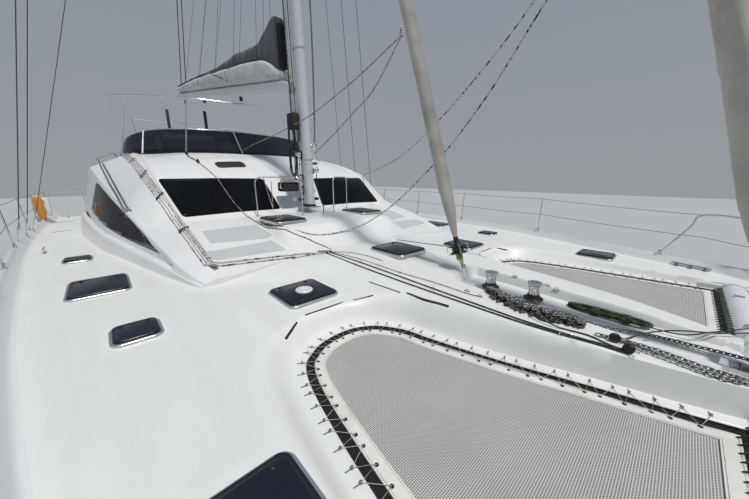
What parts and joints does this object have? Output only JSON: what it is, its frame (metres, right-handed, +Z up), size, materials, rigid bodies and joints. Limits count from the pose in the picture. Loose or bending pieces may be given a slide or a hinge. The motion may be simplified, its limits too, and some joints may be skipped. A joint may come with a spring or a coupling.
{
  "type": "cruising catamaran",
  "caption": "Cutter-rigged cruising catamaran afloat, with trampolines, a winged coachroof, raised helm and furled sails.",
  "frame": {"origin": "on the waterline, on the centreline, amidships", "axes": "+X towards the bows, +Y to port, +Z up"},
  "size_m": [17.27, 8.8468, 25.32],
  "materials": {
    "gelcoat": "gloss white, slightly worn",
    "antifoul": "matt dark blue antifouling",
    "tinted_glass": "dark tinted, polished",
    "hatch_acrylic": "dark tinted acrylic, finely scratched",
    "alloy": "anodised, satin",
    "spar_paint": "pale grey paint, satin",
    "stainless": "polished stainless steel",
    "wire": "stranded stainless wire",
    "galvanised": "galvanised, dull",
    "bronze": "cast bronze",
    "black_fitting": "black moulded plastic",
    "sail_cover": "weathered beige acrylic cloth",
    "bag_cloth": "grey acrylic cloth",
    "sailcloth": "white woven sailcloth",
    "netting": "pale grey knotless net with a cream hem",
    "upholstery": "grey woven cloth",
    "joinery": "satin varnish",
    "white_rope": "braided, with dark flecks",
    "dark_rope": "braided, dark",
    "green_cord": "bright yellow-green braid",
    "chain": "galvanised chain",
    "nonskid_grey": "grey non-slip texture",
    "rubber": "black rubber",
    "orange_cover": "faded orange cover",
    "seat_vinyl": "dark vinyl",
    "anchor_light": "white moulded plastic"
  },
  "bodies": {
    "root": {"deck_moulding": "gelcoat", "coachroof": "gelcoat", "bridge_deck": "gelcoat", "helm_deck": "gelcoat", "hull_starboard": "gelcoat", "hull_port": "gelcoat", "keel_starboard": "antifoul", "keel_port": "antifoul", "helm_windscreen": "tinted_glass", "front_window_starboard": "tinted_glass", "front_window_port": "tinted_glass", "side_window_starboard": "tinted_glass", "side_window_port": "tinted_glass", "forward_crossbeam": "alloy", "saildrive_starboard": "alloy", "saildrive_port": "alloy", "mast": "spar_paint", "helm_frame": "stainless", "guard_rail_starboard": "stainless", "guard_rail_port": "stainless", "mast_rail_starboard": "stainless", "mast_rail_port": "stainless", "shrouds_starboard": "wire", "shrouds_port": "wire", "runner_starboard": "wire", "runner_port": "wire", "anchor": "galvanised", "genoa_furler": "black_fitting", "staysail_furler": "black_fitting", "genoa_furled": "sail_cover", "staysail_furled": "sail_cover", "trampoline_starboard": "netting", "trampoline_port": "netting", "saloon_seat": "upholstery", "saloon_table": "joinery", "galley_unit": "joinery"},
    "steering_wheel": {"steering_wheel": "stainless"},
    "rudder_starboard": {"rudder_starboard": "antifoul"},
    "rudder_port": {"rudder_port": "antifoul"},
    "propeller_starboard": {"propeller_starboard": "bronze"},
    "propeller_port": {"propeller_port": "bronze"},
    "saloon_door": {"saloon_door": "tinted_glass"},
    "boom": {"boom": "spar_paint", "sail_bag": "bag_cloth", "mainsail_stack": "sailcloth"},
    "capstan_aft": {"capstan_aft": "stainless"},
    "capstan_fore": {"capstan_fore": "stainless"},
    "sail_locker_hatch": {"sail_locker_hatch": "hatch_acrylic"},
    "bow_locker_lid_starboard": {"bow_locker_lid_starboard": "hatch_acrylic"},
    "bow_locker_lid_port": {"bow_locker_lid_port": "hatch_acrylic"},
    "forward_cabin_hatch_starboard": {"forward_cabin_hatch_starboard": "hatch_acrylic"},
    "forward_cabin_hatch_port": {"forward_cabin_hatch_port": "hatch_acrylic"},
    "side_cabin_hatch_starboard": {"side_cabin_hatch_starboard": "hatch_acrylic"},
    "side_cabin_hatch_port": {"side_cabin_hatch_port": "hatch_acrylic"},
    "midship_cabin_hatch_starboard": {"midship_cabin_hatch_starboard": "hatch_acrylic"},
    "midship_cabin_hatch_port": {"midship_cabin_hatch_port": "hatch_acrylic"},
    "foredeck_hatch_starboard": {"foredeck_hatch_starboard": "hatch_acrylic"},
    "foredeck_hatch_port": {"foredeck_hatch_port": "hatch_acrylic"},
    "apron_hatch_starboard": {"apron_hatch_starboard": "hatch_acrylic"},
    "apron_hatch_port": {"apron_hatch_port": "hatch_acrylic"}
  },
  "joints": [
    {"name": "boom_swing", "type": "hinge", "parent": "root", "child": "boom", "pos_m": [1.06833, 0, 4.7], "axis": [0, 0, 1], "range_deg": [-49, 37]},
    {"name": "rudder_starboard_turn", "type": "hinge", "parent": "root", "child": "rudder_starboard", "pos_m": [-7.25, -3.3, -0.4], "axis": [0, 0, 1], "range_deg": [-35, 35]},
    {"name": "rudder_port_turn", "type": "hinge", "parent": "root", "child": "rudder_port", "pos_m": [-7.25, 3.3, -0.4], "axis": [0, 0, 1], "range_deg": [-35, 35]},
    {"name": "steering_wheel_turn", "type": "hinge", "parent": "root", "child": "steering_wheel", "pos_m": [-2.76, -1.15, 4.01], "axis": [1, 0, 0], "range_deg": [-280, 280]},
    {"name": "saloon_door_slide", "type": "slide", "parent": "root", "child": "saloon_door", "axis": [0, 1, 0], "range_m": [0, 0.78]},
    {"name": "capstan_aft_turn", "type": "hinge", "parent": "root", "child": "capstan_aft", "pos_m": [5.32, 0, 1.9], "axis": [0, 0, 1], "continuous": true},
    {"name": "capstan_fore_turn", "type": "hinge", "parent": "root", "child": "capstan_fore", "pos_m": [5.78, 0, 1.9], "axis": [0, 0, 1], "continuous": true},
    {"name": "propeller_starboard_spin", "type": "hinge", "parent": "root", "child": "propeller_starboard", "pos_m": [-5.98, -3.3, -0.93], "axis": [1, 0, 0], "continuous": true},
    {"name": "propeller_port_spin", "type": "hinge", "parent": "root", "child": "propeller_port", "pos_m": [-5.98, 3.3, -0.93], "axis": [1, 0, 0], "continuous": true},
    {"name": "bow_locker_lid_starboard_lift", "type": "hinge", "parent": "root", "child": "bow_locker_lid_starboard", "pos_m": [6.05, -2.9, 1.7573], "axis": [0, 1, 0], "range_deg": [0, 80]},
    {"name": "bow_locker_lid_port_lift", "type": "hinge", "parent": "root", "child": "bow_locker_lid_port", "pos_m": [6.05, 2.9, 1.7573], "axis": [0, 1, 0], "range_deg": [0, 80]},
    {"name": "forward_cabin_hatch_starboard_lift", "type": "hinge", "parent": "root", "child": "forward_cabin_hatch_starboard", "pos_m": [3.955, -3.09, 1.8223], "axis": [0, 1, 0], "range_deg": [0, 80]},
    {"name": "forward_cabin_hatch_port_lift", "type": "hinge", "parent": "root", "child": "forward_cabin_hatch_port", "pos_m": [3.955, 3.09, 1.8223], "axis": [0, 1, 0], "range_deg": [0, 80]},
    {"name": "side_cabin_hatch_starboard_lift", "type": "hinge", "parent": "root", "child": "side_cabin_hatch_starboard", "pos_m": [2.55, -3.3, 1.8243], "axis": [0, 1, 0], "range_deg": [0, 80]},
    {"name": "side_cabin_hatch_port_lift", "type": "hinge", "parent": "root", "child": "side_cabin_hatch_port", "pos_m": [2.55, 3.3, 1.8243], "axis": [0, 1, 0], "range_deg": [0, 80]},
    {"name": "midship_cabin_hatch_starboard_lift", "type": "hinge", "parent": "root", "child": "midship_cabin_hatch_starboard", "pos_m": [0.63, -3.53, 1.8243], "axis": [0, 1, 0], "range_deg": [0, 80]},
    {"name": "midship_cabin_hatch_port_lift", "type": "hinge", "parent": "root", "child": "midship_cabin_hatch_port", "pos_m": [0.63, 3.53, 1.8243], "axis": [0, 1, 0], "range_deg": [0, 80]},
    {"name": "foredeck_hatch_starboard_lift", "type": "hinge", "parent": "root", "child": "foredeck_hatch_starboard", "pos_m": [4.27, -1.675, 1.8273], "axis": [0, 1, 0], "range_deg": [0, 80]},
    {"name": "foredeck_hatch_port_lift", "type": "hinge", "parent": "root", "child": "foredeck_hatch_port", "pos_m": [4.27, 1.675, 1.8273], "axis": [0, 1, 0], "range_deg": [0, 80]},
    {"name": "apron_hatch_starboard_lift", "type": "hinge", "parent": "root", "child": "apron_hatch_starboard", "pos_m": [2.35, -0.89, 2.3483], "axis": [0, 1, 0], "range_deg": [0, 80]},
    {"name": "apron_hatch_port_lift", "type": "hinge", "parent": "root", "child": "apron_hatch_port", "pos_m": [2.35, 0.89, 2.3483], "axis": [0, 1, 0], "range_deg": [0, 80]},
    {"name": "sail_locker_hatch_lift", "type": "hinge", "parent": "root", "child": "sail_locker_hatch", "pos_m": [4.18, 0, 2.0043], "axis": [0, 1, 0], "range_deg": [0, 80]}
  ],
  "couplings": [
    {"joint": "rudder_port_turn", "follows": "rudder_starboard_turn", "ratio": 1},
    {"joint": "steering_wheel_turn", "follows": "rudder_starboard_turn", "ratio": 8}
  ]
}
